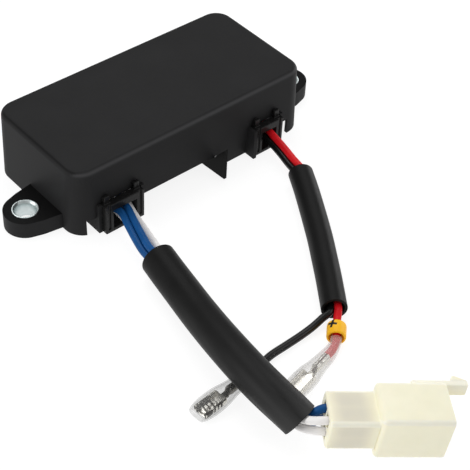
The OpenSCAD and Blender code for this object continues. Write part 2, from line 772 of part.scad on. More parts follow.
case();
bush(-1);  // bush_left
bush(1);  // bush_right
cable_insert(-exit_left, insert_left_w);  // cable_insert_left
cable_insert(exit_right, insert_right_w);  // cable_insert_right
resin();
circuit_board();
heat_sink();
power_transistor();
filter_capacitor();
film_capacitor();
power_resistor();
rectifier_diode(0);  // rectifier_diode_1
rectifier_diode(1);  // rectifier_diode_2
rectifier_diode(2);  // rectifier_diode_3
rectifier_diode(3);  // rectifier_diode_4
varistor();
control_transistor();
small_resistor(0);  // small_resistor_1
small_resistor(1);  // small_resistor_2
small_resistor(2);  // small_resistor_3
blue_lead(blue_left_route);  // blue_lead_left
blue_lead(blue_right_route);  // blue_lead_right
white_lead(white_left_route);  // white_lead_left
white_lead(white_right_route);  // white_lead_right
red_lead();
black_lead();
harness_sleeve();
brush_sleeve();
plug_housing();
plug_contact(0);  // plug_contact_1
plug_contact(1);  // plug_contact_2
plug_contact(2);  // plug_contact_3
plug_contact(3);  // plug_contact_4
red_terminal();
black_terminal();
red_clear_sleeve();
black_clear_sleeve();
polarity_marker();
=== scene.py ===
# %% [markdown]
# A voltage regulator for a small generator: a potted black case, a sleeved harness with a nylon plug, and
# a pair of brush leads with sleeved terminals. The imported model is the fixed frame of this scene. It
# gives every piece its place in metres, with the origin midway between the two mounting holes. Pieces
# whose solids are already right keep their shape and get a finish here. Soft or finely shaped ones are
# worked out again with numpy.

# %% Load the frame
import json
import math

import bmesh
import bpy
import numpy as np
from mathutils import Matrix, Vector
from mathutils.geometry import delaunay_2d_cdt


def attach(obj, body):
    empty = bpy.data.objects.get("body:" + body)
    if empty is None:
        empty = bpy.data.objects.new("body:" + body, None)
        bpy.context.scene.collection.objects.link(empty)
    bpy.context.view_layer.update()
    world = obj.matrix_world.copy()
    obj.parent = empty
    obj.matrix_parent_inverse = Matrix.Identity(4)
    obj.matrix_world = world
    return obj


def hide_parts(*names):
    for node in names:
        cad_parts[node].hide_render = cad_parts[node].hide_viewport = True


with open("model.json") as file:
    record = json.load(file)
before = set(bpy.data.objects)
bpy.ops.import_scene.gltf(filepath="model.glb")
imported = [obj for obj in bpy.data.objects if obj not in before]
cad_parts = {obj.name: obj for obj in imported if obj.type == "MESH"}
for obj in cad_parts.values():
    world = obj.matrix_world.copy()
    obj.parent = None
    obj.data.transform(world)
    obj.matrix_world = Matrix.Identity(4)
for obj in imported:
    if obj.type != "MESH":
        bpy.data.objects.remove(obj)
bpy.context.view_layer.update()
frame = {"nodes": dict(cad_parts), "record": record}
MM = 0.001
print("nodes in the frame:", len(frame["nodes"]))

# %% [markdown]
# The camera stands in front of the harness, to its left, and looks down on it. Its three directions are
# unit vectors, so they can be written straight into the columns of its matrix, with its place in the last
# column. A long lens keeps the edges of the case nearly parallel, which is how small products are
# photographed.

# %% Camera
CAMERA_PLACE = np.array([-202.204, -251.988, 270.175]) * MM
CAMERA_RIGHT = (0.75680, -0.65224, 0.04283)
CAMERA_UP = (0.42519, 0.54100, 0.72562)
CAMERA_BACK = (-0.49645, -0.53094, 0.68676)
LENS = 99.75
SENSOR = 36

camera_data = bpy.data.cameras.new("product_camera")
camera_data.lens = LENS
camera_data.sensor_width = SENSOR
camera = bpy.data.objects.new("product_camera", camera_data)
camera_matrix = np.eye(4)
camera_matrix[:3, 0] = CAMERA_RIGHT
camera_matrix[:3, 1] = CAMERA_UP
camera_matrix[:3, 2] = CAMERA_BACK
camera_matrix[:3, 3] = CAMERA_PLACE
camera.matrix_world = Matrix(camera_matrix.tolist())
bpy.context.scene.collection.objects.link(camera)
bpy.context.scene.camera = camera
print("camera height in mm:", round(CAMERA_PLACE[2] / MM, 1))

# %% [markdown]
# Nearly every new shape here is a patch: a grid of points in rows and columns, where neighbours share a
# four-sided face. A tube closes its columns into rings, and a hollow ring closes its rows as well. One
# helper turns patches into a mesh, merges the doubled points at seams and poles, and turns all faces
# outwards, so that a cap can be made by letting a whole row fall on one point.

# %% Patches and pieces
MERGE_DISTANCE = 1e-7
SHARP_DEGREES = 50


def patch(points, close_rows=False, close_columns=True):
    """A grid as points, faces and corner UVs: corner (i, j) joins (i, j+1), (i+1, j+1) and (i+1, j)."""
    rows, columns = points.shape[:2]
    index = np.arange(rows * columns).reshape(rows, columns)
    if close_rows:
        index = np.vstack([index, index[:1]])
    if close_columns:
        index = np.hstack([index, index[:, :1]])
    faces = np.stack([index[:-1, :-1], index[:-1, 1:], index[1:, 1:], index[1:, :-1]], axis=-1)
    down, over = np.mgrid[0:faces.shape[0], 0:faces.shape[1]]
    corner_down = np.stack([down, down, down + 1, down + 1], axis=-1) / faces.shape[0]
    corner_over = np.stack([over, over + 1, over + 1, over], axis=-1) / faces.shape[1]
    uv = np.stack([corner_over, corner_down], axis=-1)
    return points.reshape(-1, 3), faces.reshape(-1, 4), uv.reshape(-1, 2)


def mesh_of(name, patches, sharp_degrees=SHARP_DEGREES):
    """One mesh from patches: points in millimetres become metres, doubles merge, faces turn outwards."""
    first = np.cumsum([0] + [len(points) for points, faces, uv in patches])
    faces = [face for (points, group, uv), start in zip(patches, first) for face in (group + start).tolist()]
    mesh = bpy.data.meshes.new(name)
    mesh.from_pydata((np.vstack([points for points, group, uv in patches]) * MM).tolist(), [], faces)
    layer = mesh.uv_layers.new(name="surface")
    layer.data.foreach_set("uv", np.vstack([uv for points, group, uv in patches]).astype(np.float32).ravel())
    work = bmesh.new()
    work.from_mesh(mesh)
    bmesh.ops.remove_doubles(work, verts=work.verts, dist=MERGE_DISTANCE)
    bmesh.ops.recalc_face_normals(work, faces=work.faces)
    work.to_mesh(mesh)
    work.free()
    mesh.shade_smooth()
    mesh.set_sharp_from_angle(angle=math.radians(sharp_degrees))
    return mesh


def add_piece(name, mesh, finish, slot, *nodes):
    """Puts a mesh into the scene at the origin, on the only body, in place of the nodes it stands for."""
    mesh.materials.append(finish)
    piece = bpy.data.objects.new(name, mesh)
    bpy.context.scene.collection.objects.link(piece)
    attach(piece, "root")
    if nodes:
        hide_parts(*nodes)
    print(name, "faces:", len(mesh.polygons))
    return piece


# %% [markdown]
# Leads and sleeves follow a route: a few chosen points that a smooth curve passes through. Between two
# points the curve is a cubic that leaves each along the line between its neighbours, so it never kinks.
# The route is never upright, so the level direction across it and the direction square to both make a
# frame that doesn't twist.

# %% Routes and rings
CURVE_STEPS = 8


def smooth_step(x, start, end):
    """Rises from 0 at the start to 1 at the end as 3t squared minus 2t cubed."""
    t = np.clip((x - start) / (end - start), 0, 1)
    return t * t * (3 - 2 * t)


def bell(x, middle, spread):
    """Bell curve: e to the minus square of the distance from the middle over the spread."""
    return np.exp(-(((x - middle) / spread) ** 2))


def squared_off(wave, power):
    """A sine or cosine with fuller ends: its sign times its size to a power below one."""
    return np.sign(wave) * np.abs(wave) ** power


def smooth_route(points, steps=CURVE_STEPS):
    """Cubic Hermite curve: an end slope is the unit chord of a point's neighbours times the span length."""
    points = np.asarray(points, float)
    chord = np.vstack([points[1:2] - points[:1], points[2:] - points[:-2], points[-1:] - points[-2:-1]])
    slope = chord / np.linalg.norm(chord, axis=1, keepdims=True)
    span = np.linalg.norm(np.diff(points, axis=0), axis=1)[:, None, None]
    t = np.linspace(0, 1, steps, endpoint=False)[None, :, None]
    start = points[:-1, None] * (2 * t**3 - 3 * t**2 + 1) + span * slope[:-1, None] * (t**3 - 2 * t**2 + t)
    finish = points[1:, None] * (3 * t**2 - 2 * t**3) + span * slope[1:, None] * (t**3 - t**2)
    return np.vstack([(start + finish).reshape(-1, points.shape[1]), points[-1:]])


def route_frame(route):
    """Unit vectors along a route, level across it, and square to both."""
    along = np.gradient(route, axis=0)
    along /= np.linalg.norm(along, axis=1, keepdims=True)
    across = np.cross(along, [0.0, 0.0, 1.0])
    across /= np.linalg.norm(across, axis=1, keepdims=True)
    return along, across, np.cross(across, along)


def route_length(route):
    """Sum of the distances between neighbouring points."""
    return float(np.linalg.norm(np.diff(route, axis=0), axis=1).sum())


def rings(route, radius, sides):
    """Rings about a route: middle + radius * (cosine * across + sine * up), one radius or one per point."""
    along, across, up = route_frame(route)
    angle = np.linspace(0, 2 * np.pi, sides, endpoint=False)
    reach = np.broadcast_to(radius, (len(route), sides))[..., None]
    turn = np.cos(angle)[None, :, None] * across[:, None] + np.sin(angle)[None, :, None] * up[:, None]
    return route[:, None] + reach * turn


def closed_tube(route, radius, sides):
    """A solid rod: its rings, with a first and a last row that fall on the route's ends."""
    body = rings(route, radius, sides)
    first = np.broadcast_to(route[0], (1, sides, 3))
    last = np.broadcast_to(route[-1], (1, sides, 3))
    return patch(np.vstack([first, body, last]))


# %% [markdown]
# Real finishes are never one flat colour. A moulded surface drifts a little in colour and gloss over a
# few millimetres and carries a fine grain from its mould. Both are noises on Object coordinates, so they
# stay on the piece from every side. The numbers that are the same all over go straight onto the shader's
# sockets. The five numbers after a colour are the roughness, how far the tone drifts, over how many
# millimetres, and the grain's size and depth in millimetres.

# %% Finishes
GLOSS_DRIFT = 0.12
TINT_SPAN = (0.3, 0.7)
BROAD_DETAIL, FINE_DETAIL = 3, 2


def new_finish(name, color, roughness, drift, drift_size, grain_size, grain_depth, **sockets):
    """Principled shader: colour and roughness drift with a broad noise, and a fine noise gives the grain."""
    finish = bpy.data.materials.new(name)
    finish.use_nodes = True
    nodes = finish.node_tree.nodes
    links = finish.node_tree.links
    shader = nodes["Principled BSDF"]
    for socket, value in sockets.items():
        shader.inputs[socket.replace("_", " ")].default_value = value
    place = nodes.new("ShaderNodeTexCoord")
    broad = nodes.new("ShaderNodeTexNoise")
    broad.inputs["Scale"].default_value = 1 / (drift_size * MM)
    broad.inputs["Detail"].default_value = BROAD_DETAIL
    links.new(place.outputs["Object"], broad.inputs["Vector"])
    tint = nodes.new("ShaderNodeValToRGB")
    tint.color_ramp.elements[0].position = TINT_SPAN[0]
    tint.color_ramp.elements[1].position = TINT_SPAN[1]
    tint.color_ramp.elements[0].color = (*[part * (1 - drift) for part in color], 1)
    tint.color_ramp.elements[1].color = (*[min(1, part * (1 + drift)) for part in color], 1)
    links.new(broad.outputs["Fac"], tint.inputs["Fac"])
    links.new(tint.outputs["Color"], shader.inputs["Base Color"])
    gloss = nodes.new("ShaderNodeMapRange")
    gloss.inputs["To Min"].default_value = roughness * (1 - GLOSS_DRIFT)
    gloss.inputs["To Max"].default_value = roughness * (1 + GLOSS_DRIFT)
    links.new(broad.outputs["Fac"], gloss.inputs["Value"])
    links.new(gloss.outputs["Result"], shader.inputs["Roughness"])
    fine = nodes.new("ShaderNodeTexNoise")
    fine.inputs["Scale"].default_value = 1 / (grain_size * MM)
    fine.inputs["Detail"].default_value = FINE_DETAIL
    links.new(place.outputs["Object"], fine.inputs["Vector"])
    grain = nodes.new("ShaderNodeBump")
    grain.inputs["Distance"].default_value = grain_depth * MM
    links.new(fine.outputs["Fac"], grain.inputs["Height"])
    links.new(grain.outputs["Normal"], shader.inputs["Normal"])
    return finish


def mixed_over(finish, attribute, color):
    """Mixes a colour over what feeds a finish's base colour, as far as the attribute says."""
    nodes, links = finish.node_tree.nodes, finish.node_tree.links
    amount = nodes.new("ShaderNodeAttribute")
    amount.attribute_name = attribute
    cover = nodes.new("ShaderNodeMix")
    cover.data_type = "RGBA"
    cover.inputs["B"].default_value = (*color, 1)
    links.new(amount.outputs["Fac"], cover.inputs["Factor"])
    links.new(nodes["Principled BSDF"].inputs["Base Color"].links[0].from_socket, cover.inputs["A"])
    links.new(cover.outputs["Result"], nodes["Principled BSDF"].inputs["Base Color"])


def numbered(piece, name, values, domain="POINT"):
    """Gives each point or face of a piece a number under a name that a finish can ask for."""
    layer = piece.data.attributes.new(name, "FLOAT", domain)
    layer.data.foreach_set("value", np.asarray(values, np.float32).ravel())


def rows_of(items, what):
    """One value with three parts of every point or face, as rows."""
    values = np.zeros(len(items) * 3)
    items.foreach_get(what, values)
    return values.reshape(-1, 3)


case_plastic = new_finish(
    "case_plastic", (0.0202, 0.0202, 0.0208), 0.5, 0.08, 14, 0.5, 0.03, Specular_IOR_Level=0.05
)
insert_plastic = new_finish(
    "insert_plastic", (0.0118, 0.0115, 0.0115), 0.27, 0.15, 3, 0.5, 0.02, Specular_IOR_Level=0.13
)
sleeve_vinyl = new_finish(
    "sleeve_vinyl", (0.0082, 0.0082, 0.0082), 0.42, 0.12, 6, 0.45, 0.03, Specular_IOR_Level=0.08
)
blue_insulation = new_finish(
    "blue_insulation", (0.0095, 0.079, 0.248), 0.34, 0.12, 5, 0.6, 0.01, Specular_IOR_Level=0.12
)
white_insulation = new_finish(
    "white_insulation", (0.9, 0.88, 0.87), 0.35, 0.03, 5, 0.6, 0.01, Specular_IOR_Level=0.2
)
red_insulation = new_finish(
    "red_insulation", (0.66, 0.008, 0.014), 0.34, 0.1, 5, 0.6, 0.01, Specular_IOR_Level=0.15
)
black_insulation = new_finish(
    "black_insulation", (0.006, 0.006, 0.006), 0.26, 0.15, 5, 0.6, 0.01, Specular_IOR_Level=0.25
)
bush_metal = new_finish("bush_metal", (0.64, 0.7, 0.7), 0.36, 0.08, 1.5, 0.25, 0.01, Metallic=1.0)
terminal_metal = new_finish("terminal_metal", (0.86, 0.84, 0.78), 0.25, 0.12, 1.2, 0.4, 0.02, Metallic=1.0)
contact_metal = new_finish("contact_metal", (0.8, 0.58, 0.25), 0.3, 0.12, 1.5, 0.4, 0.02, Metallic=1.0)
plug_nylon = new_finish(
    "plug_nylon", (0.98, 0.93, 0.72), 0.4, 0.02, 5, 0.8, 0.02, Specular_IOR_Level=0.3,
    Subsurface_Weight=0.3, Subsurface_Scale=0.0004, Subsurface_Radius=(1, 0.9, 0.7),
)
clear_vinyl = new_finish("clear_vinyl", (0.42, 0.42, 0.405), 0.14, 0.05, 3, 1.5, 0.05)
marker_yellow = new_finish(
    "marker_yellow", (1.0, 0.5, 0.011), 0.4, 0.08, 2, 0.5, 0.02, Specular_IOR_Level=0.2
)
print("finishes:", len(bpy.data.materials))

# %% [markdown]
# The harness sleeve's middle line is one route. The four leads inside lie round it and turn slowly as
# they go, so each is the sleeve's route plus a turning offset, with its own points at both ends. The two
# brush leads lie side by side along the thinner sleeve. All points are millimetres, at or within a
# millimetre of those of the solids.

# %% Routes of the leads
HARNESS_ROUTE = np.array([
    [-34.9, -41.2, 5.4], [-36, -46.8, 5.4], [-37.5, -55, 5.4], [-39.5, -64.5, 6], [-41.7, -74, 7.5],
    [-43.8, -84, 9.2], [-44.8, -91, 9.8], [-45.2, -97, 9.8], [-45.2, -102, 9.5], [-44.9, -106.5, 8.9],
    [-44.5, -111.5, 8],
])
BRUSH_ROUTE = np.array([
    [24.9, -37.6, 4], [21.2, -44, 4], [17.2, -50.5, 4], [13.1, -57, 4], [8.9, -63.5, 4], [4.4, -70, 4],
    [0.2, -76, 4], [-3.8, -81.5, 4], [-7.5, -86.5, 4],
])
BUNDLE_RADIUS = 1.68
BUNDLE_TURN = 20
RED_SIDE = np.array([1.0, -0.5, 0.32])
BOARD_EDGE = -9.9
BOARD_HEIGHT = 8.2
FIRST_STUB = 2


def from_board(x):
    """A lead leaves the circuit board square to its edge: two points, one stub apart."""
    return [[x, BOARD_EDGE, BOARD_HEIGHT], [x, BOARD_EDGE - FIRST_STUB, BOARD_HEIGHT]]


def bundle(first):
    """Sleeve's route plus a radius at the first angle, turned on by a fixed angle at each point."""
    angle = np.radians(first + BUNDLE_TURN * np.arange(len(HARNESS_ROUTE) - 1))
    return HARNESS_ROUTE[:-1] + BUNDLE_RADIUS * np.stack([np.cos(angle), 0 * angle, np.sin(angle)], axis=1)


LEAD_ROUTES = {
    "blue_lead_left": [
        *from_board(-33.5), [-32.7, -15, 6.7], [-31.6, -19.2, 6], [-33.3, -25, 5.6], [-35, -31, 5.1],
        [-36.1, -36, 4.8], *bundle(200), [-43.2, -110.9, 9.1], [-42.2, -113.3, 10.5], [-40, -114.9, 12.2],
        [-37.3, -116.8, 12.2],
    ],
    "blue_lead_right": [
        *from_board(-28.5), [-28.7, -15, 6.7], [-29.2, -19.2, 6.3], [-31, -25, 6.1], [-32.9, -31, 6.2],
        [-34.5, -36, 6.5], *bundle(110), [-43.6, -110.9, 5.9], [-42.5, -113.2, 6.6], [-40.2, -114.8, 8],
        [-37.6, -116.6, 7.9],
    ],
    "white_lead_left": [
        *from_board(-31), [-30.8, -15, 4.4], [-30.6, -19.2, 3.2], [-31.3, -25, 2.8], [-32.4, -31, 2.7],
        [-33.3, -36, 3], *bundle(290), [-45.2, -111.4, 9.6], [-44.6, -115.2, 11.3], [-42.3, -118.3, 12.5],
        [-39.6, -120.2, 12.2],
    ],
    "white_lead_right": [
        *from_board(-25.8), [-26.6, -15, 5.6], [-27.3, -19.2, 3.7], [-28.5, -25, 3.4], [-30, -31, 3.9],
        [-31.5, -36, 4.9], *bundle(20), [-45.8, -111.4, 7.2], [-44.9, -115, 7.8], [-42.6, -118.1, 8.2],
        [-39.9, -120, 7.9],
    ],
    "red_lead": [
        *from_board(30.2), [29.6, -15, 6.7], [28.9, -19.2, 6.2], [28.1, -25.4, 5.6], [27, -31.5, 5],
        *(BRUSH_ROUTE + RED_SIDE), [-9.5, -89.8, 3.1], [-12.3, -92.5, 2.8], [-14.6, -94.8, 2.4],
        [-17.4, -96.2, 2.15], [-20.2, -96.9, 2.1],
    ],
    "black_lead": [
        *from_board(26.6), [27, -15, 5.8], [27.5, -19.2, 4.3], [26.8, -25, 3.8], [25.4, -31.5, 3.4],
        *(BRUSH_ROUTE - RED_SIDE), [-12, -86.2, 2.6], [-15.5, -86.3, 1.7], [-20, -86.4, 1.3],
        [-25, -86.5, 1.3], [-31.5, -86.6, 1.3], [-37, -87.7, 1.6], [-40.6, -88.5, 2.1], [-43.5, -88.8, 2.1],
    ],
}
lead_curves = {name: smooth_route(points) for name, points in LEAD_ROUTES.items()}
for name, curve in lead_curves.items():
    print(name, "is", round(route_length(curve)), "mm long")

# %% [markdown]
# A lead is stranded wire in a smooth plastic jacket, so from outside it is a round rod along its curve.
# Twenty sides are enough for a rod this thin, because the shading is smooth.

# %% Leads
LEAD_RADIUS = 1.15
LEAD_SIDES = 20
LEAD_FINISHES = {
    "blue": blue_insulation, "white": white_insulation, "red": red_insulation, "black": black_insulation,
}
for name, curve in lead_curves.items():
    shade = name.split("_")[0]
    mesh = mesh_of(name + "_wire", [closed_tube(curve, LEAD_RADIUS, LEAD_SIDES)])
    add_piece(name + "_wire", mesh, LEAD_FINISHES[shade], shade + "_insulation", name)

# %% [markdown]
# A sleeve is a soft vinyl hose. The wide one is squeezed by its bundle: from the case to the plug, four
# soft lengthwise lobes grow over the four leads, and a painted sheen makes it paler towards the plug, most
# on their ridges. A wall runs from the outside over the cut end to the inside and back, so the grid closes
# both ways. Soft hose is cut by hand, so each end lies in its own slanted plane.

# %% Sleeves
SLEEVE_SIDES = 56
HARNESS_RADIUS, HARNESS_OVAL, HARNESS_WALL = 5.3, 0.25, 0.9
HARNESS_CUTS, HARNESS_BLEND = ((0.15, 1, 0), (0.216, -0.84, -0.493)), 9
LOBE_HEIGHT, LOBE_LEVEL, LOBE_POWER, LOBE_TWIST = 0.55, 0.7, 0.7, 2.5
VALLEY_SHEEN = 0.35
PAINTED_SHEEN_VINYL = (0.043, 0.043, 0.043)
BRUSH_RADIUS, BRUSH_OVAL, BRUSH_WALL, BRUSH_TWIST = 3.88, 0.05, 0.8, 3
BRUSH_CUTS, BRUSH_BLEND = ((0.5, 0.8, 0), (-0.6, -0.8, 0)), 8


def slanted(route, points, end, normal, blend):
    """Slides the rings near an end along the route until the end ring lies in the plane with that normal."""
    along = route_frame(route)[0][end]
    distance = np.linalg.norm(route - route[end], axis=1)
    weight = np.clip(1 - distance / blend, 0, 1)[:, None] ** 2
    normal = np.asarray(normal, float)
    slide = -((points - route[:, None]) @ normal) / (along @ normal)
    return points + (weight * slide)[..., None] * along


def sleeve(route, radius, wall, first_cut, last_cut, blend):
    """A hose: outer rings out and inner rings back, where a ring shrunk by the wall is the inner one."""
    outer = rings(route, radius, SLEEVE_SIDES)
    inner = rings(route, radius - wall, SLEEVE_SIDES)
    outer = slanted(route, slanted(route, outer, 0, first_cut, blend), -1, last_cut, blend)
    inner = slanted(route, slanted(route, inner, 0, first_cut, blend), -1, last_cut, blend)
    return patch(np.vstack([outer, inner[::-1]]), close_rows=True)


harness_curve = smooth_route(HARNESS_ROUTE)
share = np.linspace(0, 1, len(harness_curve))[:, None]
angle = np.linspace(0, 2 * np.pi, SLEEVE_SIDES, endpoint=False)[None]
ridges = np.abs(np.cos(2 * angle + LOBE_TWIST * share)) ** LOBE_POWER
harness_lobes = LOBE_HEIGHT * share**1.5 * (ridges - LOBE_LEVEL)
harness_radius = HARNESS_RADIUS + HARNESS_OVAL * share**4 * np.cos(2 * angle) + harness_lobes
harness_patch = sleeve(harness_curve, harness_radius, HARNESS_WALL, *HARNESS_CUTS, HARNESS_BLEND)
harness_sleeve = add_piece(
    "harness_hose", mesh_of("harness_hose", [harness_patch]), sleeve_vinyl, "sleeve_vinyl", "harness_sleeve",
)
# painted sheen: the hose grows paler towards the plug end, most on the ridges of the lobes
ridge_sheen = share**3 * (VALLEY_SHEEN + (1 - VALLEY_SHEEN) * ridges)
numbered(harness_sleeve, "painted_ridge_sheen", np.vstack([ridge_sheen, ridge_sheen[::-1]]))
mixed_over(sleeve_vinyl, "painted_ridge_sheen", PAINTED_SHEEN_VINYL)
brush_curve = smooth_route(BRUSH_ROUTE)
share = np.linspace(0, 1, len(brush_curve))[:, None]
brush_radius = BRUSH_RADIUS + BRUSH_OVAL * np.cos(2 * angle + BRUSH_TWIST * share)
brush_patch = sleeve(brush_curve, brush_radius, BRUSH_WALL, *BRUSH_CUTS, BRUSH_BLEND)
brush_sleeve = add_piece(
    "brush_hose", mesh_of("brush_hose", [brush_patch]), sleeve_vinyl, "sleeve_vinyl", "brush_sleeve",
)

# %% [markdown]
# Moulded blocks have rounded edges. A rounded block is a small ball cut into eight: each eighth moves out
# to the corner of the box that it faces, and the flats open between them. The first and last rows fall on
# the middle of the bottom and the top, which closes those two flats.

# %% Rounded blocks
QUARTER_STEPS = 4


def rounded_block(low, high, radius):
    """Corner points plus radius times the ball's normals, with two rows that fall on the flats' middles."""
    low = np.asarray(low, float)
    high = np.asarray(high, float)
    middle = (low + high) / 2
    half = (high - low) / 2 - radius
    quarter = np.linspace(0, np.pi / 2, QUARTER_STEPS)
    turn = np.concatenate([quarter + k * np.pi / 2 for k in range(4)])
    tilt = np.concatenate([quarter - np.pi / 2, quarter])[:, None]
    side_x = np.repeat([1, -1, -1, 1], QUARTER_STEPS)
    side_y = np.repeat([1, 1, -1, -1], QUARTER_STEPS)
    side_z = np.repeat([-1, 1], QUARTER_STEPS)[:, None]
    x = middle[0] + side_x * half[0] + radius * np.cos(tilt) * np.cos(turn)
    y = middle[1] + side_y * half[1] + radius * np.cos(tilt) * np.sin(turn)
    z = middle[2] + side_z * half[2] + radius * np.sin(tilt) + 0 * turn
    body = np.stack([x, y, z], axis=-1)
    bottom = np.broadcast_to([middle[0], middle[1], low[2]], (1, len(turn), 3))
    top = np.broadcast_to([middle[0], middle[1], high[2]], (1, len(turn), 3))
    return patch(np.vstack([bottom, body, top]))


def placed(shape, place, yaw, pitch=0.0):
    """Turns a patch by its pitch about Y, then by its yaw about Z, and moves it to its place."""
    points, faces, uv = shape
    cosine, sine = np.cos(np.radians(yaw)), np.sin(np.radians(yaw))
    yawed = np.array([[cosine, -sine, 0], [sine, cosine, 0], [0, 0, 1]])
    cosine, sine = np.cos(np.radians(pitch)), np.sin(np.radians(pitch))
    pitched = np.array([[cosine, 0, sine], [0, 1, 0], [-sine, 0, cosine]])
    return points @ (yawed @ pitched).T + np.asarray(place, float), faces, uv


# %% [markdown]
# The plug is one nylon moulding: a rear block, a wider shell with an open mouth, and a sprung latch on
# its back. A loft makes the first two: a rounded rectangle that changes its width and height from station
# to station, out along the outside, round the lip and back into the socket. Flat ends with holes for the
# leads are triangulated.

# %% Plug
PLUG_PLACE = (-40.9, -116.8, 10.35)
PLUG_YAW = -35
PLUG_PITCH = 5.4
REAR_LENGTH, REAR_WIDTH, REAR_HEIGHT = 12.8, 11.6, 10.4
SHELL_LENGTH, SHELL_WIDTH, SHELL_HEIGHT = 19.0, 13.8, 14.7
SHELL_WALL = 1.3
SOCKET_FLOOR = 14.8
CELL = 3.1
CELL_DEPTH = 3.0
CELL_PLACES = [(y, z) for z in (2.2, -2.2) for y in (2.05, -2.05)]
PLUG_EDGE, LEAST_EDGE = 1.3, 0.25
FLAT_STEPS = 10
INSIDE_ONLY, SAME_POINT = 1, 1e-6


def rounded_outline(width, height, radius):
    """A rectangle's four corners, each plus a quarter circle, and even steps along the flat to the next."""
    quarter = np.linspace(0, np.pi / 2, QUARTER_STEPS + 2)
    turn = quarter + np.arange(4)[:, None] * np.pi / 2
    y = np.array([[1], [-1], [-1], [1]]) * (width / 2 - radius) + radius * np.cos(turn)
    z = np.array([[1], [1], [-1], [-1]]) * (height / 2 - radius) + radius * np.sin(turn)
    corners = np.stack([y, z], axis=-1)
    step = np.linspace(0, 1, FLAT_STEPS + 1)[1:-1, None]
    first, last = corners[:, -1:], np.roll(corners[:, :1], -1, axis=0)
    return np.concatenate([corners, first + step * (last - first)], axis=1).reshape(-1, 2)


def loft(stations):
    """Rows of rounded rectangles: each station gives its x, width, height and corner radius."""
    rows = [np.insert(rounded_outline(w, h, r), 0, x, axis=1) for x, w, h, r in stations]
    return patch(np.array(rows))


def rounded_end(x, width, height, edge, forward):
    """Stations of a quarter round: the section grows by the sine while x moves by one minus the cosine."""
    turn = np.linspace(0, np.pi / 2, QUARTER_STEPS)
    inset = edge * (1 - np.sin(turn))
    shift = edge * (1 - np.cos(turn)) * forward
    radius = np.maximum(PLUG_EDGE - inset, LEAST_EDGE)
    return [(x + s, width - 2 * i, height - 2 * i, r) for s, i, r in zip(shift, inset, radius)]


def flat_plate(x, outline, holes):
    """A flat face at x inside an outline, with square holes left open."""
    loops = [outline] + holes
    first = np.cumsum([0] + [len(loop) for loop in loops])
    edges = [(s + k, s + (k + 1) % len(loop)) for loop, s in zip(loops, first) for k in range(len(loop))]
    places = [tuple(point) for loop in loops for point in loop]
    found = delaunay_2d_cdt(places, edges, [], INSIDE_ONLY, SAME_POINT)
    corners = np.array([tuple(point) for point in found[0]])
    faces = np.array(found[2])
    middles = corners[faces].mean(axis=1)
    inside = [np.all(np.abs(middles - hole.mean(axis=0)) < CELL / 2, axis=1) for hole in holes]
    if holes:
        faces = faces[~np.any(inside, axis=0)]
    points = np.insert(corners, 0, x, axis=1)
    return points, faces, corners[faces].reshape(-1, 2)


def cell(y, z):
    """A square hole's outline, and its walls and floor with a last row that falls on the floor's middle."""
    square = CELL / 2 * np.array([[1, 1], [-1, 1], [-1, -1], [1, -1]]) + (y, z)
    mouth = np.insert(square, 0, 0, axis=1)
    floor = np.insert(square, 0, CELL_DEPTH, axis=1)
    middle = np.broadcast_to([CELL_DEPTH, y, z], (1, 4, 3))
    return square, patch(np.vstack([mouth[None], floor[None], middle]))


REAR_EDGE = 0.6
SHELL_EDGE = 1.2
LIP_EDGE = 0.6
STEP_ROUND = 0.12
SOCKET_EDGE = 0.5
MOUTH_CHAMFER, MOUTH_EDGE = 0.4, 0.6
REAR_STATIONS = np.linspace(1.5, REAR_LENGTH - 0.5, 12)
mouth_x = REAR_LENGTH + SHELL_LENGTH
socket_width = SHELL_WIDTH - 2 * SHELL_WALL
socket_height = SHELL_HEIGHT - 2 * SHELL_WALL
outside = rounded_end(0, REAR_WIDTH, REAR_HEIGHT, REAR_EDGE, 1)
outside += [(x, REAR_WIDTH, REAR_HEIGHT, PLUG_EDGE) for x in REAR_STATIONS]
step_width, step_height = REAR_WIDTH + 2 * STEP_ROUND, REAR_HEIGHT + 2 * STEP_ROUND
outside += [(REAR_LENGTH - STEP_ROUND, step_width, step_height, PLUG_EDGE)]
outside += rounded_end(REAR_LENGTH, SHELL_WIDTH, SHELL_HEIGHT, SHELL_EDGE, 1)
outside += rounded_end(mouth_x, SHELL_WIDTH, SHELL_HEIGHT, LIP_EDGE, -1)[::-1]
outside += [(mouth_x, socket_width + MOUTH_CHAMFER, socket_height + MOUTH_CHAMFER, MOUTH_EDGE)]
outside += [(x, socket_width, socket_height, SOCKET_EDGE) for x in (mouth_x - MOUTH_CHAMFER, SOCKET_FLOOR)]
cells = [cell(y, z) for y, z in CELL_PLACES]
rear_outline = rounded_outline(*outside[0][1:])
floor_outline = rounded_outline(socket_width, socket_height, SOCKET_EDGE)
plug_patches = [
    loft(outside),
    flat_plate(0, rear_outline, [square for square, walls in cells]),
    flat_plate(SOCKET_FLOOR, floor_outline, []),
]
plug_patches += [walls for square, walls in cells]

# %% [markdown]
# The latch is a flat spring arm with a barb near its tip. The arm is a rounded block sunk into the
# shell's back wall, and the barb is a wedge: a profile of five corners carried across the latch's width.

# %% Latch and the finished plug
LATCH_LOW, LATCH_HIGH = 2.45, 6.45
LATCH_ROOT, LATCH_REACH = 9.0, 6.2
LATCH_IN, LATCH_OUT = 6.25, 8.1
BARB = 1.6
BARB_START, BARB_PEAK = 1.55, 2.35
BARB_SUNK, BARB_INSET, BARB_FLAT = 0.4, 0.05, 0.5
LATCH_EDGE = 0.3
WEDGE_SHRINK, WEDGE_SOFT = 0.86, 0.25
PLUG_SHARP_DEGREES = 40


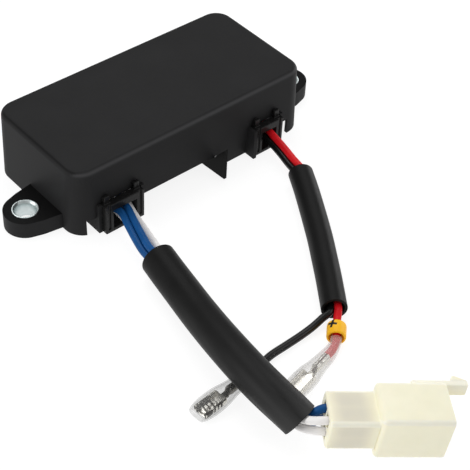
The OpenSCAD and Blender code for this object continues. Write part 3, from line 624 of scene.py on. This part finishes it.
def wedge(profile, low, high):
    """A closed profile in x and y carried from the low to the high z, with rows that fall on its middle."""
    profile = np.asarray(profile, float)
    inner = profile.mean(axis=0) + WEDGE_SHRINK * (profile - profile.mean(axis=0))
    levels = [(inner, low), (profile, low + WEDGE_SOFT), (profile, high - WEDGE_SOFT), (inner, high)]
    rows = [np.insert(ring, 2, z, axis=1) for ring, z in levels]
    ends = [np.broadcast_to([*profile.mean(axis=0), z], (len(profile), 3)) for z in (low, high)]
    return patch(np.array([ends[0], *rows, ends[1]]))


latch_tip = mouth_x + LATCH_REACH
arm_low, arm_high = (mouth_x - LATCH_ROOT, LATCH_IN, LATCH_LOW), (latch_tip, LATCH_OUT, LATCH_HIGH)
arm = rounded_block(arm_low, arm_high, LATCH_EDGE)
barb_foot, barb_end = LATCH_OUT - BARB_SUNK, latch_tip - BARB_INSET
barb = wedge(
    [(mouth_x + BARB_START, barb_foot), (barb_end, barb_foot), (barb_end, LATCH_OUT),
     (mouth_x + BARB_PEAK + BARB_FLAT, LATCH_OUT + BARB), (mouth_x + BARB_PEAK, LATCH_OUT + BARB)],
    LATCH_LOW + BARB_INSET, LATCH_HIGH - BARB_INSET,
)
plug_patches = [placed(shape, PLUG_PLACE, PLUG_YAW, PLUG_PITCH) for shape in plug_patches + [arm, barb]]
plug_mesh = mesh_of("nylon_plug", plug_patches, PLUG_SHARP_DEGREES)
plug = add_piece("nylon_plug", plug_mesh, plug_nylon, "plug_nylon", "plug_housing")

# %% [markdown]
# Natural nylon is a little cloudy, and the metal inside the rear block shades its walls; that shade is
# painted on as a faint grey patch. Each point of the plug gets a number: a bell curve of its distance to the
# nearest contact, inside a window along the block. The finish mixes a greyer tone over the nylon by that
# number. Along the long edges the light comes in from two sides, so they look paler, and a second number
# paints that paler tone there.

# %% Contacts that show through the nylon
SHOW_IN, SHOW_OUT = (-1, 4), (8, 13)
SHOW_MOST, SHOW_SPREAD = 0.8, 6
EDGE_SHARE = 0.95
CONTACT_SHADE_GREY = (0.6, 0.57, 0.505)
NYLON_PALE = (1.0, 0.965, 0.81)

plug_turn = placed((np.eye(3), None, None), (0, 0, 0), PLUG_YAW, PLUG_PITCH)[0]
in_plug = (rows_of(plug.data.vertices, "co") / MM - np.array(PLUG_PLACE)) @ plug_turn.T
to_contact = np.min([np.hypot(in_plug[:, 1] - y, in_plug[:, 2] - z) for y, z in CELL_PLACES], axis=0)
window = smooth_step(in_plug[:, 0], *SHOW_IN) * (1 - smooth_step(in_plug[:, 0], *SHOW_OUT))
# painted shade of the contacts inside the cloudy nylon
through = SHOW_MOST * window * bell(to_contact, 0, SHOW_SPREAD)
numbered(plug, "show_through", through)
mixed_over(plug_nylon, "show_through", CONTACT_SHADE_GREY)
on_shell = in_plug[:, 0] > REAR_LENGTH
half_width = np.where(on_shell, SHELL_WIDTH, REAR_WIDTH) / 2
half_height = np.where(on_shell, SHELL_HEIGHT, REAR_HEIGHT) / 2
from_corner = np.stack([half_width - np.abs(in_plug[:, 1]), half_height - np.abs(in_plug[:, 2])])
near_edge = np.all(np.abs(from_corner) < EDGE_SHARE * PLUG_EDGE, axis=0)
numbered(plug, "pale_edge", near_edge)
mixed_over(plug_nylon, "pale_edge", NYLON_PALE)
print("strongest show-through:", round(float(through.max()), 2))

# %% [markdown]
# Each brush terminal is stamped from one sheet: rolled into a barrel round the lead, flat at the neck,
# and curled into a receptacle at the tip. One sheet with three cross-sections does all of it: a section
# is a function of the place across the sheet, and smooth steps along the terminal mix the three. Solidify
# gives the metal's thickness. The metal has gone dark in spots at the tip and evenly at the crimp, more
# on the black lead than on the red one: products of sine waves along and across the sheet give the spots.

# %% Terminals
RED_TERMINAL = ((-20.3, -97, 2.1), 192)
BLACK_TERMINAL = ((-43.6, -88.8, 2.1), 185)
SHEET_THICKNESS = 0.4
SHEET_LENGTH, SHEET_ROWS, SHEET_COLUMNS = 16, 65, 41
BARREL_ROLL, BARREL_RADIUS = 168, 1.35
CRIMP_DENT, CRIMP_PLACE, CRIMP_SPREAD = 0.12, 3, 0.5
NECK_HALF, NECK_LEVEL, NECK_RISE = 1.1, -1.15, 0.35
BOX_CURL, BOX_HALF, BOX_DROP, BOX_POWER = 150, 2.4, 1.15, 0.45
NECK_SPAN, BOX_SPAN = (5.2, 6.6), (7.2, 8.6)
TIP_SPAN, SPOT_SPAN, ROOT_SPAN, ROOT_GREY = (9.5, 10.5), (-0.5, -0.2), (6.5, 8.5), 0.8
SPOT_WAVES, SPOT_PHASE, SMALL_SPOTS = np.array([[3.1, 1.7], [-1.9, 2.3], [5.3, -4.1]]), 1, 0.5
TARNISHED_METAL = (0.022, 0.019, 0.016)
TARNISH = {"red_terminal": 0.06, "black_terminal": 1.0}


def terminal_sheet():
    """Rows along x; each is barrel, neck and receptacle sections mixed by smooth steps."""
    x = np.linspace(0, SHEET_LENGTH, SHEET_ROWS)[:, None]
    across = np.linspace(-1, 1, SHEET_COLUMNS)[None]
    roll = np.radians(BARREL_ROLL) * across
    barrel_radius = BARREL_RADIUS - CRIMP_DENT * bell(x, CRIMP_PLACE, CRIMP_SPREAD)
    barrel_y, barrel_z = barrel_radius * np.sin(roll), -barrel_radius * np.cos(roll)
    neck_y, neck_z = NECK_HALF * across + 0 * x, NECK_LEVEL + NECK_RISE * across**2 + 0 * x
    curl = np.radians(BOX_CURL) * across
    box_y = BOX_HALF * squared_off(np.sin(curl), BOX_POWER) + 0 * x
    box_z = -BOX_DROP * squared_off(np.cos(curl), BOX_POWER) + 0 * x
    to_neck, to_box = smooth_step(x, *NECK_SPAN), smooth_step(x, *BOX_SPAN)
    y = (barrel_y * (1 - to_neck) + neck_y * to_neck) * (1 - to_box) + box_y * to_box
    z = (barrel_z * (1 - to_neck) + neck_z * to_neck) * (1 - to_box) + box_z * to_box
    return patch(np.stack([x + 0 * y, y, z], axis=-1), close_columns=False)


terminals = {}
for name, (place, yaw) in (("red_terminal", RED_TERMINAL), ("black_terminal", BLACK_TERMINAL)):
    mesh = mesh_of(name + "_metal", [placed(terminal_sheet(), place, yaw)])
    terminals[name] = add_piece(name + "_metal", mesh, terminal_metal, "terminal_metal", name)
    thickness = terminals[name].modifiers.new("thickness", "SOLIDIFY")
    thickness.thickness = SHEET_THICKNESS * MM
    thickness.offset = -1
    x, y, z = terminal_sheet()[0].T
    first, second, third = SPOT_WAVES @ np.stack([x, y])
    spots = np.sin(first) * np.sin(second + SPOT_PHASE) + SMALL_SPOTS * np.sin(third)
    worn_tip = smooth_step(x, *TIP_SPAN) * smooth_step(spots, *SPOT_SPAN)
    grey_root = ROOT_GREY * (1 - smooth_step(x, *ROOT_SPAN))
    numbered(terminals[name], "tarnish", TARNISH[name] * (worn_tip + grey_root))
mixed_over(terminal_metal, "tarnish", TARNISHED_METAL)

# %% [markdown]
# A soft clear sleeve is pushed over each terminal. It is narrow where it grips the lead, swells over the
# receptacle and draws in at its open tip. It follows a route: along the lead's last bend, then straight
# over the metal. Its section is an oval squared off a little, with a width and a height at each point of
# the route. The wall is made as for the hoses, out and back. A clear wall looks denser at its edges,
# where the view passes through more of it, so the finish takes its opacity from the angle between surface
# and view. The sleeve on the red lead has gone cloudy, and a number on its points makes it paler and
# denser than the other.

# %% Clear sleeves
CLEAR_WALL, CLEAR_SIDES, CLEAR_STEPS, OVAL_POWER = 0.35, 48, 6, 0.8
EDGE_BLEND, CLEAREST, DENSEST = 0.35, 0.07, 0.45
CLOUD_DENSITY, CLOUD_TONE = 0.045, (0.72, 0.7, 0.68)
OVER_METAL = np.array([
    [0, 4.6, 3.5], [3.5, 5.1, 3.7], [6, 5.8, 3.8], [8.5, 6.7, 4.0], [12, 7.0, 4.1], [15, 6.6, 3.9],
    [16.8, 5.8, 3.4], [17.6, 5.2, 2.8],
])
RED_BEND = np.array([
    [-13.9, -94.1, 2.5, 3.2, 3.2], [-15.3, -95.2, 2.35, 3.4, 3.3], [-17.5, -96.2, 2.15, 3.8, 3.4],
])
BLACK_BEND = np.array([[-39.9, -88.4, 2.1, 3.6, 3.3], [-41.6, -88.6, 2.1, 4.0, 3.4]])


def clear_shell(bend, place, yaw):
    """Squared oval about a route: cosine and sine to a power below one, times half the width and height."""
    heading = np.array([np.cos(np.radians(yaw)), np.sin(np.radians(yaw)), 0])
    straight = np.hstack([np.array(place) + OVER_METAL[:, :1] * heading, OVER_METAL[:, 1:]])
    line = smooth_route(np.vstack([bend, straight]), CLEAR_STEPS)
    across, up = route_frame(line[:, :3])[1:]
    angle = np.linspace(0, 2 * np.pi, CLEAR_SIDES, endpoint=False)[None, :, None]
    level, upright = squared_off(np.cos(angle), OVAL_POWER), squared_off(np.sin(angle), OVAL_POWER)
    half_width, half_height = line[:, None, 3:4] / 2, line[:, None, 4:] / 2
    outer = line[:, None, :3] + half_width * level * across[:, None] + half_height * upright * up[:, None]
    shrink = CLEAR_WALL * (level * across[:, None] + upright * up[:, None])
    return patch(np.vstack([outer, (outer - shrink)[::-1]]), close_rows=True)


nodes, links = clear_vinyl.node_tree.nodes, clear_vinyl.node_tree.links
facing = nodes.new("ShaderNodeLayerWeight")
facing.inputs["Blend"].default_value = EDGE_BLEND
density = nodes.new("ShaderNodeMapRange")
density.inputs["To Min"].default_value = CLEAREST
density.inputs["To Max"].default_value = DENSEST
links.new(facing.outputs["Facing"], density.inputs["Value"])
cloud = nodes.new("ShaderNodeAttribute")
cloud.attribute_name = "cloud"
denser = nodes.new("ShaderNodeMath")
denser.operation = "MULTIPLY_ADD"
denser.inputs[1].default_value = CLOUD_DENSITY
links.new(cloud.outputs["Fac"], denser.inputs[0])
links.new(density.outputs["Result"], denser.inputs[2])
links.new(denser.outputs["Value"], nodes["Principled BSDF"].inputs["Alpha"])
mixed_over(clear_vinyl, "cloud", CLOUD_TONE)
clear_sleeves = {}
for name, bend, (place, yaw) in (
    ("red_clear_sleeve", RED_BEND, RED_TERMINAL), ("black_clear_sleeve", BLACK_BEND, BLACK_TERMINAL),
):
    mesh = mesh_of(name + "_cover", [clear_shell(bend, place, yaw)])
    clear_sleeves[name] = add_piece(name + "_cover", mesh, clear_vinyl, "clear_vinyl", name)
    numbered(clear_sleeves[name], "cloud", np.full(len(mesh.vertices), name == "red_clear_sleeve"))

# %% [markdown]
# A yellow ring on the red lead marks the positive side. It is a short soft tube with a printed plus sign,
# whose lower end has opened a little. The print is a vertex attribute: a point belongs to the sign if it
# lies in one of two bars, measured along the ring and round it. The finish mixes black ink over the
# yellow where it is one.

# %% Polarity marker
MARKER_PLACE = (-12.3, -92.5, 2.8)
MARKER_YAW = 224
MARKER_LENGTH = 4.6
MARKER_RADIUS, MARKER_BORE = 2.8, 1.6
MARKER_FLARE = 0.6
MARKER_ROWS, MARKER_SIDES = 80, 160
SOFT_END, SOFT_POWER = 0.18, 12
INK = (0.01, 0.01, 0.01)
SIGN_ANGLE = 122
SIGN_PLACE = -0.9
SIGN_TURN = 14
SIGN_ARM, SIGN_HALF = 1.45, 0.38

along_marker = np.linspace(-MARKER_LENGTH / 2, MARKER_LENGTH / 2, MARKER_ROWS)
marker_angle = np.linspace(0, 2 * np.pi, MARKER_SIDES, endpoint=False)
soft_ends = SOFT_END * (np.abs(along_marker) / (MARKER_LENGTH / 2)) ** SOFT_POWER
outer_radius = MARKER_RADIUS - soft_ends
marker_rows = []
bore_radius = MARKER_BORE + MARKER_FLARE * smooth_step(along_marker, 0, MARKER_LENGTH / 2)
for radius, line in ((outer_radius, along_marker), (bore_radius[::-1], along_marker[::-1])):
    y = radius[:, None] * np.cos(marker_angle)
    z = radius[:, None] * np.sin(marker_angle)
    marker_rows.append(np.stack([line[:, None] + 0 * y, y, z], axis=-1))
marker_patch = patch(np.vstack(marker_rows), close_rows=True)
marker = add_piece(
    "plus_marker", mesh_of("plus_marker", [placed(marker_patch, MARKER_PLACE, MARKER_YAW)]),
    marker_yellow, "marker_yellow", "polarity_marker",
)
local = marker_patch[0]
around = (np.arctan2(local[:, 2], local[:, 1]) - np.radians(SIGN_ANGLE)) * MARKER_RADIUS
lengthwise = local[:, 0] - SIGN_PLACE
tilt = np.radians(SIGN_TURN)
up_sign = np.abs(lengthwise * np.cos(tilt) + around * np.sin(tilt))
over_sign = np.abs(around * np.cos(tilt) - lengthwise * np.sin(tilt))
bar_along = (over_sign < SIGN_HALF) & (up_sign < SIGN_ARM)
bar_around = (up_sign < SIGN_HALF) & (over_sign < SIGN_ARM)
outside_face = np.hypot(local[:, 1], local[:, 2]) > MARKER_RADIUS - MARKER_FLARE / 2
inked = (bar_along | bar_around) & outside_face
numbered(marker, "ink", inked)
mixed_over(marker_yellow, "ink", INK)
print("points under ink:", int(inked.sum()))

# %% [markdown]
# The bushes in the ears are short turned tubes of plated steel. A profile with chamfered rims, carried
# once round the hole's axis, gives the bright rim that catches the light.

# %% Bushes
HOLE_X = 53.0
BUSH_SIDES = 72
BUSH_PROFILE = np.array([
    [4.05, 0], [4.15, 0.15], [4.15, 5.6], [4.1, 5.75], [4.0, 5.8], [3.8, 5.8], [3.7, 5.76], [3.2, 5.1],
    [3.1, 4.8], [3.1, 0.3], [3.3, 0],
])
turn = np.linspace(0, 2 * np.pi, BUSH_SIDES, endpoint=False)
bush_rows = np.stack([
    BUSH_PROFILE[:, :1] * np.cos(turn), BUSH_PROFILE[:, :1] * np.sin(turn), BUSH_PROFILE[:, 1:] + 0 * turn,
], axis=-1)
for name, x in (("bush_left", -HOLE_X), ("bush_right", HOLE_X)):
    mesh = mesh_of(name + "_ring", [placed(patch(bush_rows, close_rows=True), (x, 0, 0), 0)])
    add_piece(name + "_ring", mesh, bush_metal, "bush_metal", name)

# %% [markdown]
# The case and the cable inserts start from their solids, but a moulding has no sharp edge. A copy of each
# solid's triangles is merged into whole faces, and a narrow Bevel rounds every edge that turns by more
# than thirty degrees. Round faces stay as they are, because their strips meet at small angles. The walls
# have a fine texture that scatters light. The ears' tops and the fin get painted shade, and the left rim,
# more weakly, a painted dark reflection, so they look darker; the long front rim gets a painted highlight
# that makes it a little paler. Two numbers on each face tell the finish so, for the rims as bell curves of
# the angle at which the face leans. The leg beside the right exit is thinner than the wall above it, so the
# points on its inside move outwards from the corner's centre. An ear's flank is the straight line that
# leaves its round end as a tangent, so points short of it move out to it.

# %% Case and cable inserts
FLAT_DEGREES = 0.5
BEVEL_DEGREES, BEVEL_SEGMENTS = 30, 3
SOLID_MERGE = 1e-6
CASE_EDGE, INSERT_EDGE = 0.3, 0.35
SLACK, FACING, SIDE_TURN = 0.1, 0.9, (0.3, 0.6)
END_WALL_X, EAR_TOP = 46.2, 5.6
FIN_MIDDLE, FIN_NEAR, FIN_TOP, FRONT_WALL_Y = 7.0, 0.8, 13.0, -16.2
HIGHLIGHT_LEAN, HIGHLIGHT_SPREAD, HIGHLIGHT_SEEN, RIM_LOW = 38, 20, 0.3, 18.0
SHADE_LEAN, SHADE_SPREAD = 62, 20
EAR_PAINTED_SHADE, RIM_PAINTED_SHADE = 0.77, 0.68
PAINTED_SHADE_PLASTIC, RIM_HIGHLIGHT_PLASTIC = (0.003, 0.003, 0.003), (0.055, 0.055, 0.057)
LEG_CENTRE, LEG_SIDE = (39.0, -9.8), 38.4
LEG_INSIDE, LEG_NEAR, LEG_THINNED = 4.0, 4.3, 5.5
EAR_ROOT, EAR_TOUCH = (45.5, 9.3), (54.92, 6.52)
EAR_BORE_EDGE, FLANK_START = 4.6, 45.8


def softened(node, name, finish, slot, width):
    """A solid's own points and triangles, merged and dissolved into flat faces, with beveled edges."""
    source = frame["nodes"][node].data
    corners = np.zeros(len(source.loops), np.int32)
    source.loops.foreach_get("vertex_index", corners)
    mesh = bpy.data.meshes.new(name)
    mesh.from_pydata(rows_of(source.vertices, "co").tolist(), [], corners.reshape(-1, 3).tolist())
    work = bmesh.new()
    work.from_mesh(mesh)
    bmesh.ops.remove_doubles(work, verts=work.verts, dist=SOLID_MERGE)
    bmesh.ops.dissolve_limit(
        work, angle_limit=math.radians(FLAT_DEGREES), verts=work.verts, edges=work.edges, delimit={"NORMAL"}
    )
    work.to_mesh(mesh)
    work.free()
    mesh.shade_smooth()
    piece = add_piece(name, mesh, finish, slot, node)
    bevel = piece.modifiers.new("soft_edges", "BEVEL")
    bevel.width = width * MM
    bevel.segments = BEVEL_SEGMENTS
    bevel.limit_method = "ANGLE"
    bevel.angle_limit = math.radians(BEVEL_DEGREES)
    bevel.harden_normals = True
    return piece


case_piece = softened("case", "moulded_case", case_plastic, "case_plastic", CASE_EDGE)
points = rows_of(case_piece.data.vertices, "co") / MM
outwards = np.stack([np.maximum(points[:, 0] - LEG_CENTRE[0], 0), points[:, 1] - LEG_CENTRE[1]], axis=1)
inside_leg = (points[:, 0] > LEG_SIDE) & (outwards[:, 1] < SLACK) & (points[:, 2] < EAR_TOP + SLACK)
inside_leg &= np.hypot(*outwards.T) < LEG_NEAR
points[inside_leg, :2] += outwards[inside_leg] * (LEG_THINNED / LEG_INSIDE - 1)
out, over = np.abs(points[:, :2]).T
flank = np.interp(out, [EAR_ROOT[0], EAR_TOUCH[0]], [EAR_ROOT[1], EAR_TOUCH[1]])
on_flank = (out > FLANK_START) & (out < EAR_TOUCH[0]) & (over > EAR_BORE_EDGE) & (over < flank)
on_flank &= points[:, 2] < EAR_TOP + SLACK
points[on_flank, 1] = np.sign(points[on_flank, 1]) * flank[on_flank]
print("points moved to the ears' flanks:", int(on_flank.sum()))
case_piece.data.vertices.foreach_set("co", (points * MM).ravel())
case_piece.data.update()
x, y, z = rows_of(case_piece.data.polygons, "center").T / MM
nx, ny, nz = rows_of(case_piece.data.polygons, "normal").T
on_ear = (np.abs(x) > END_WALL_X) & (nz > FACING) & (z < EAR_TOP + SLACK)
on_fin = (np.abs(x - FIN_MIDDLE) < FIN_NEAR) & (z < FIN_TOP)
on_fin &= (np.abs(nx) > FACING) | (y < FRONT_WALL_Y)
lean = np.degrees(np.arcsin(np.clip(nz, -1, 1)))
left_rim = bell(lean, SHADE_LEAN, SHADE_SPREAD) * smooth_step(-nx, *SIDE_TURN) * (z > RIM_LOW)
# painted shade on the ears' tops and the fin, and a weaker painted dark reflection on the left rim
dark = np.where(on_ear, EAR_PAINTED_SHADE, np.maximum(on_fin, RIM_PAINTED_SHADE * left_rim))
numbered(case_piece, "painted_shade", dark, "FACE")
mixed_over(case_plastic, "painted_shade", PAINTED_SHADE_PLASTIC)
# painted highlight along the long front rim
rim = bell(lean, HIGHLIGHT_LEAN, HIGHLIGHT_SPREAD) * smooth_step(-ny, *SIDE_TURN) * (z > RIM_LOW)
numbered(case_piece, "rim_highlight", rim, "FACE")
mixed_over(case_plastic, "rim_highlight", RIM_HIGHLIGHT_PLASTIC)
print("polished faces:", int((on_ear | on_fin).sum()), "rubbed faces:", int((rim > HIGHLIGHT_SEEN).sum()))
for side in ("left", "right"):
    softened("cable_insert_" + side, "moulded_insert_" + side, insert_plastic, "insert_plastic", INSERT_EDGE)

# %% [markdown]
# The resin, the circuit board and what stands on it are sealed in the case, and the contacts sit deep in
# the plug. Their solids are fine as they are, so each only gets the finish of its real material.

# %% Sealed pieces
SEALED_LOOKS = {
    "potting_resin": ((0.01, 0.01, 0.01), 0.35, 0.2, 12, 2.5, 0.1),
    "board_laminate": ((0.06, 0.2, 0.09), 0.4, 0.15, 2, 0.3, 0.01),
    "component_black": ((0.015, 0.015, 0.016), 0.45, 0.15, 2, 0.2, 0.01),
    "capacitor_sleeve": ((0.02, 0.03, 0.12), 0.25, 0.1, 3, 0.5, 0.01),
    "film_coating": ((0.3, 0.05, 0.02), 0.3, 0.15, 2, 0.4, 0.02),
    "resistor_cement": ((0.75, 0.73, 0.67), 0.7, 0.06, 1, 0.3, 0.03),
    "varistor_coating": ((0.03, 0.1, 0.35), 0.35, 0.12, 2, 0.4, 0.02),
    "resistor_coating": ((0.5, 0.36, 0.2), 0.45, 0.1, 1.5, 0.3, 0.01),
}
sealed_finishes = {slot: new_finish(slot, *look) for slot, look in SEALED_LOOKS.items()}
sealed_finishes["sink_aluminium"] = new_finish(
    "sink_aluminium", (0.75, 0.76, 0.78), 0.35, 0.06, 3, 0.2, 0.01, Metallic=1.0
)
sealed_finishes["contact_metal"] = contact_metal
for entry in frame["record"]["subparts"]:
    if entry["material_slot"] in sealed_finishes:
        solid = frame["nodes"][entry["node"]]
        solid.data.materials.clear()
        solid.data.materials.append(sealed_finishes[entry["material_slot"]])
print("sealed finishes:", len(sealed_finishes))

# %% [markdown]

# %% [markdown]
# A small product is shot on a light table: a white sheet that is lit from below as well as from above, so
# that it stays white and the shadows nearly vanish. The sheet here is a floor that shines a little. The
# world gives light from all sides, a wide panel behind gives the top its tone, one from the left
# brightens the short wall, a weak one in front brings out the front rim, and a low one from the right
# draws a line of light on the hoses.

# %% Floor and light
FLOOR_HALF = 40.0
FLOOR_GLOW, WORLD_GLOW = 0.86, 0.45
floor_mesh = bpy.data.meshes.new("studio_floor")
floor_mesh.from_pydata(
    [(-FLOOR_HALF, -FLOOR_HALF, 0), (FLOOR_HALF, -FLOOR_HALF, 0), (FLOOR_HALF, FLOOR_HALF, 0),
     (-FLOOR_HALF, FLOOR_HALF, 0)], [], [(0, 1, 2, 3)],
)
floor = bpy.data.objects.new("studio_floor", floor_mesh)
bpy.context.scene.collection.objects.link(floor)
light_table = new_finish(
    "light_table", (0.22, 0.22, 0.22), 0.9, 0.004, 400, 50, 0.0, Specular_IOR_Level=0.0,
    Emission_Color=(1, 1, 1, 1), Emission_Strength=FLOOR_GLOW,
)
floor_mesh.materials.append(light_table)

studio = bpy.data.worlds.new("studio")
studio.use_nodes = True
studio.node_tree.nodes["Background"].inputs["Color"].default_value = (1, 1, 1, 1)
studio.node_tree.nodes["Background"].inputs["Strength"].default_value = WORLD_GLOW
bpy.context.scene.world = studio


def add_panel(name, place, size, power):
    """A square area light that faces the part: its own -Z axis is turned along the line to its aim."""
    panel = bpy.data.lights.new(name, "AREA")
    panel.size = size
    panel.energy = power
    lamp = bpy.data.objects.new(name, panel)
    lamp.location = place
    lamp.rotation_mode = "QUATERNION"
    lamp.rotation_quaternion = (Vector(LIGHT_AIM) - Vector(place)).to_track_quat("-Z", "Y")
    bpy.context.scene.collection.objects.link(lamp)
    print(name, "watts:", power)


LIGHT_AIM = (0, -0.04, 0)
add_panel("top_panel", (0.3, 0.5, 1.1), 0.9, 5.8)
add_panel("left_panel", (-1.0, 0.35, 0.5), 0.7, 5)
add_panel("front_panel", (0.55, -0.8, 0.75), 0.6, 1.8)
add_panel("right_panel", (1.05, 0.1, 0.22), 0.4, 2.3)
bpy.context.scene.view_settings.view_transform = "Standard"
